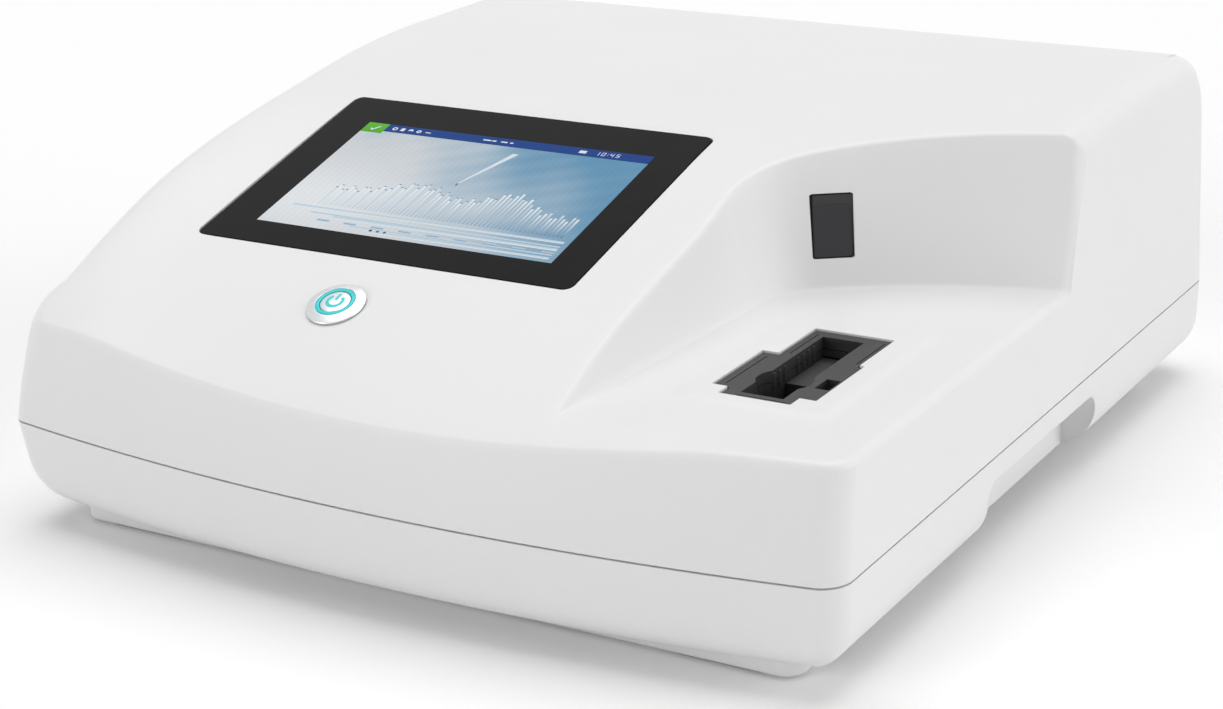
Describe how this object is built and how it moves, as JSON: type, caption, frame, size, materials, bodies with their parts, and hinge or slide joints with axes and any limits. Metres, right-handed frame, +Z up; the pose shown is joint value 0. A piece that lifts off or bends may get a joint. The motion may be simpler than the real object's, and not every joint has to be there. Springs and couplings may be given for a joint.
{
  "type": "portable spectrophotometer",
  "caption": "Bench spectrophotometer with a touch screen on a sloped deck, an open sample bay at the right, a power button, finger grips and a rear socket panel.",
  "frame": {"origin": "on the table under the middle of the case", "axes": "+X to the user's right, +Y to the back, +Z up"},
  "size_m": [0.282, 0.312, 0.1167],
  "materials": {
    "shell": "fine satin, off-white",
    "dark": "matte dark grey",
    "glass": "polished, printed black behind",
    "screen": "lit panel",
    "steel": "satin",
    "teal": "lit ring",
    "rubber": "matte",
    "aluminium": "milled",
    "black": "matte black",
    "optic": "polished",
    "mirror": "front-coated",
    "board": "solder mask green",
    "battery": "shrink film",
    "zinc": "zinc plated",
    "brass": "cut teeth"
  },
  "bodies": {
    "case": {"upper_housing": "shell", "lower_housing": "shell", "battery_cover": "shell", "front_left_foot": "rubber", "front_right_foot": "rubber", "rear_left_foot": "rubber", "rear_right_foot": "rubber", "front_left_screw": "zinc", "front_right_screw": "zinc", "rear_left_screw": "zinc", "rear_right_screw": "zinc", "battery_cover_left_screw": "zinc", "battery_cover_right_screw": "zinc", "battery_pack": "battery", "display_glass": "glass", "lcd_panel": "screen", "display_bracket": "aluminium", "power_button_bezel": "steel", "power_button_ring": "teal", "power_switch_base": "black", "power_button_nut": "steel", "cell_holder_frame": "dark", "cell_holder_block": "dark", "reader_window": "glass", "code_reader": "black", "optics_plate": "aluminium", "lamp_housing": "aluminium", "halogen_lamp": "optic", "condenser_lens": "optic", "lens_mount": "black", "filter_motor": "steel", "entrance_slit": "black", "exit_slit": "black", "fold_mirror": "mirror", "beam_splitter": "optic", "reference_detector": "black", "sample_detector": "black", "collimating_mirror": "mirror", "collimating_bracket": "aluminium", "focusing_mirror": "mirror", "focusing_bracket": "aluminium", "motor_bracket": "aluminium", "grating_motor": "black", "main_board": "board", "board_carrier": "aluminium", "dc_socket": "black", "network_socket": "zinc", "usb_socket_1": "zinc", "usb_socket_2": "zinc", "rear_panel": "dark", "fan_frame": "black"},
    "power_button": {"power_button_cap": "steel"},
    "cell_slide": {"cell_slide": "dark"},
    "grating": {"grating_table": "brass", "grating": "mirror"},
    "pinion": {"motor_pinion": "brass"},
    "filter_wheel": {"filter_wheel": "black"},
    "fan": {"fan_rotor": "black"}
  },
  "joints": [
    {"name": "power_button_press", "type": "slide", "parent": "case", "child": "power_button", "axis": [0, 0.3693, -0.9293], "range_m": [0, 0.0012], "stiffness_N_per_m": 800, "springref_m": -0.0008},
    {"name": "cell_slide_travel", "type": "slide", "parent": "case", "child": "cell_slide", "axis": [0, 1, 0], "range_m": [0, 0.02], "stiffness_N_per_m": 60, "springref_m": -0.02},
    {"name": "grating_turn", "type": "hinge", "parent": "case", "child": "grating", "pos_m": [0.0591, 0.03, 0.015], "axis": [0, 0, 1], "range_deg": [-15, 15]},
    {"name": "motor_pinion_turn", "type": "hinge", "parent": "case", "child": "pinion", "pos_m": [0.0591, -0.002, 0.015], "axis": [0, 0, 1], "range_deg": [-60, 60]},
    {"name": "filter_wheel_turn", "type": "hinge", "parent": "case", "child": "filter_wheel", "pos_m": [-0.024, -0.0235, 0.036], "axis": [1, 0, 0], "continuous": true},
    {"name": "fan_spin", "type": "hinge", "parent": "case", "child": "fan", "pos_m": [-0.072, 0.1397, 0.0692], "axis": [0, 1, 0], "continuous": true}
  ],
  "couplings": [
    {"joint": "motor_pinion_turn", "follows": "grating_turn", "ratio": -4}
  ]
}
